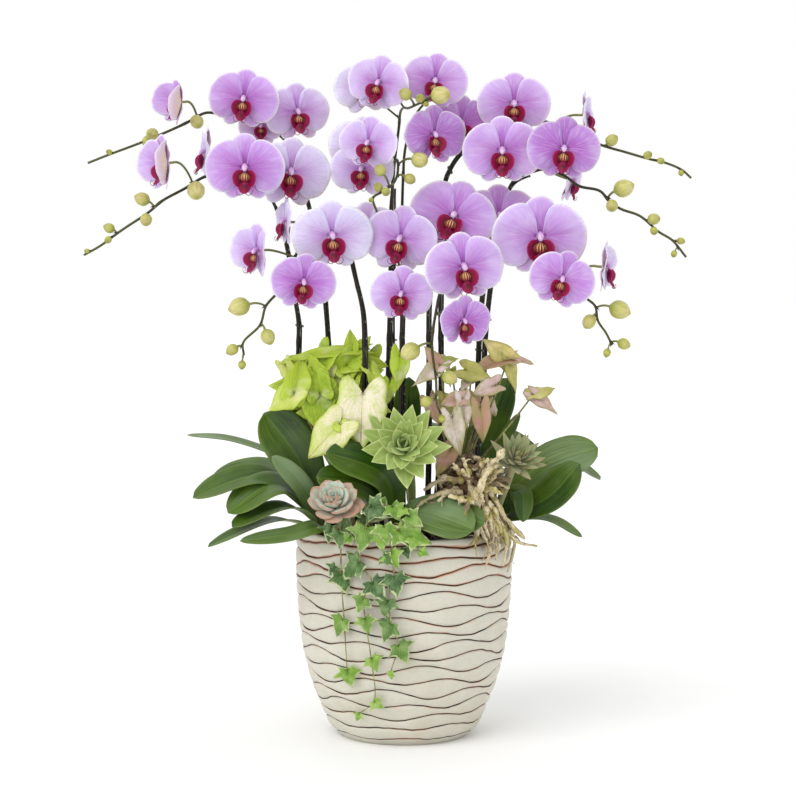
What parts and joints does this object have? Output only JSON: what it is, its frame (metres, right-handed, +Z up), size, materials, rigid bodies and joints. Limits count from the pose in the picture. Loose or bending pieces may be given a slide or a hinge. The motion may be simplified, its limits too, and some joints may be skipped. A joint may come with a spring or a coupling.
{
  "type": "potted orchid arrangement",
  "caption": "Moth orchids with arching flower spikes over strap leaves, with vines, echeverias, trailing ivy and dried roots in a wavy-ridged ceramic pot",
  "frame": {"origin": "centre of the pot's foot, on the surface that it stands on", "axes": "+Z up along the pot's axis, the front that the blooms face is -Y, +X to the viewer's right"},
  "size_m": [0.7335, 0.3823, 0.8423],
  "materials": {
    "pot_ceramic": "satin",
    "bark_medium": "rough",
    "orchid_bloom": "soft satin",
    "flower_spike": "satin",
    "orchid_leaf": "waxy",
    "lime_leaf": "soft satin",
    "pink_leaf": "soft satin",
    "green_succulent": "matt",
    "blue_succulent": "matt",
    "dusky_succulent": "matt",
    "ivy_leaf": "soft satin",
    "dried_roots": "rough"
  },
  "bodies": {
    "root": {"pot": "pot_ceramic", "bloom_a0": "orchid_bloom", "bloom_a1": "orchid_bloom", "bloom_a2": "orchid_bloom", "bloom_a3": "orchid_bloom", "bloom_b0": "orchid_bloom", "bloom_b1": "orchid_bloom", "bloom_b2": "orchid_bloom", "bloom_b3": "orchid_bloom", "bloom_h1": "orchid_bloom", "bloom_h2": "orchid_bloom", "bloom_h3": "orchid_bloom", "bloom_h4": "orchid_bloom", "bloom_g1": "orchid_bloom", "bloom_g2": "orchid_bloom", "bloom_g3": "orchid_bloom", "bloom_c1": "orchid_bloom", "bloom_c2": "orchid_bloom", "bloom_k1": "orchid_bloom", "bloom_k2": "orchid_bloom", "bloom_k3": "orchid_bloom", "bloom_d1": "orchid_bloom", "bloom_d2": "orchid_bloom", "bloom_d3": "orchid_bloom", "bloom_e1": "orchid_bloom", "bloom_e4": "orchid_bloom", "bloom_m1": "orchid_bloom", "bloom_m2": "orchid_bloom", "bloom_m3": "orchid_bloom", "bloom_f1": "orchid_bloom", "bloom_f2": "orchid_bloom", "bloom_f3": "orchid_bloom", "bloom_f4": "orchid_bloom", "bloom_n1": "orchid_bloom", "bloom_n2": "orchid_bloom", "bloom_n3": "orchid_bloom", "spike_a": "flower_spike", "spike_b": "flower_spike", "spike_h": "flower_spike", "spike_g": "flower_spike", "spike_c": "flower_spike", "spike_k": "flower_spike", "spike_d": "flower_spike", "spike_e": "flower_spike", "spike_m": "flower_spike", "spike_f": "flower_spike", "spike_n": "flower_spike", "orchid_leaves_left": "orchid_leaf", "orchid_leaves_front": "orchid_leaf", "orchid_leaves_right": "orchid_leaf", "orchid_leaves_back_left": "orchid_leaf", "orchid_leaves_back_right": "orchid_leaf", "arrowhead_vine_lime": "lime_leaf", "arrowhead_vine_pink": "pink_leaf", "echeveria_green": "green_succulent", "echeveria_blue": "blue_succulent", "echeveria_dusky": "dusky_succulent", "ivy": "ivy_leaf", "root_clump": "dried_roots", "growing_medium": "bark_medium"}
  },
  "joints": []
}
